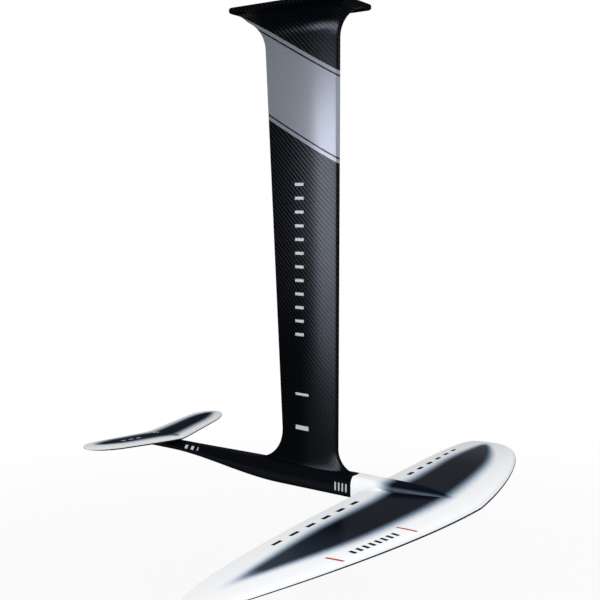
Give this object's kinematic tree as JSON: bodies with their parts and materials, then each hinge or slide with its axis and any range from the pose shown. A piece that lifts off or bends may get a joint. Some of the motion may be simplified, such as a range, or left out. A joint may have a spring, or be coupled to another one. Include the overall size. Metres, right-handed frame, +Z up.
{
  "type": "hydrofoil mast wing",
  "caption": "Carbon hydrofoil set to bolt under a board: slotted base plate, flared mast, slim fuselage, wide drooping front wing on a neck, and a small tail wing.",
  "frame": {"origin": "centre of the base plate's top face, where it meets the board", "axes": "+X forward to the front wing, +Y to port, +Z up to the board"},
  "size_m": [0.6591, 0.9042, 0.7644],
  "materials": {
    "satin_carbon": "satin twill laminate",
    "gloss_black": "gloss lacquer over carbon",
    "gloss_white": "gloss lacquer with a dark fade",
    "foam": "closed cell foam",
    "brass": "turned",
    "steel": "stainless"
  },
  "bodies": {
    "foil": {"base_plate": "satin_carbon", "mast_skin_port": "satin_carbon", "mast_skin_starboard": "satin_carbon", "mast_core_front": "foam", "mast_core_rear": "foam", "mast_spar": "satin_carbon", "mast_inserts": "brass", "mast_washers": "steel", "fuselage": "gloss_black", "tongue_inserts": "brass", "tail_inserts": "brass", "front_wing_neck": "gloss_white", "front_wing_upper_skin": "gloss_white", "front_wing_lower_skin": "satin_carbon", "front_wing_core_port": "foam", "front_wing_core_starboard": "foam", "front_wing_washers": "steel", "tail_wing_upper_skin": "gloss_white", "tail_wing_lower_skin": "satin_carbon", "tail_wing_core_port": "foam", "tail_wing_core_starboard": "foam", "tail_washers": "steel"},
    "mast_bolt_front": {"mast_bolt_front": "steel"},
    "mast_bolt_middle": {"mast_bolt_middle": "steel"},
    "mast_bolt_rear": {"mast_bolt_rear": "steel"},
    "front_wing_bolt_front": {"front_wing_bolt_front": "steel"},
    "front_wing_bolt_rear": {"front_wing_bolt_rear": "steel"},
    "tail_screw_front": {"tail_screw_front": "steel"},
    "tail_screw_rear": {"tail_screw_rear": "steel"}
  },
  "joints": [
    {"name": "mast_bolt_front_out", "type": "slide", "parent": "foil", "child": "mast_bolt_front", "axis": [0, 0, -1], "range_m": [0, 0.012]},
    {"name": "mast_bolt_middle_out", "type": "slide", "parent": "foil", "child": "mast_bolt_middle", "axis": [0, 0, -1], "range_m": [0, 0.012]},
    {"name": "mast_bolt_rear_out", "type": "slide", "parent": "foil", "child": "mast_bolt_rear", "axis": [0, 0, -1], "range_m": [0, 0.012]},
    {"name": "front_wing_bolt_front_out", "type": "slide", "parent": "foil", "child": "front_wing_bolt_front", "axis": [0, 0, -1], "range_m": [0, 0.012]},
    {"name": "front_wing_bolt_rear_out", "type": "slide", "parent": "foil", "child": "front_wing_bolt_rear", "axis": [0, 0, -1], "range_m": [0, 0.012]},
    {"name": "tail_screw_front_out", "type": "slide", "parent": "foil", "child": "tail_screw_front", "axis": [0, 0, 1], "range_m": [0, 0.009]},
    {"name": "tail_screw_rear_out", "type": "slide", "parent": "foil", "child": "tail_screw_rear", "axis": [0, 0, 1], "range_m": [0, 0.009]}
  ]
}
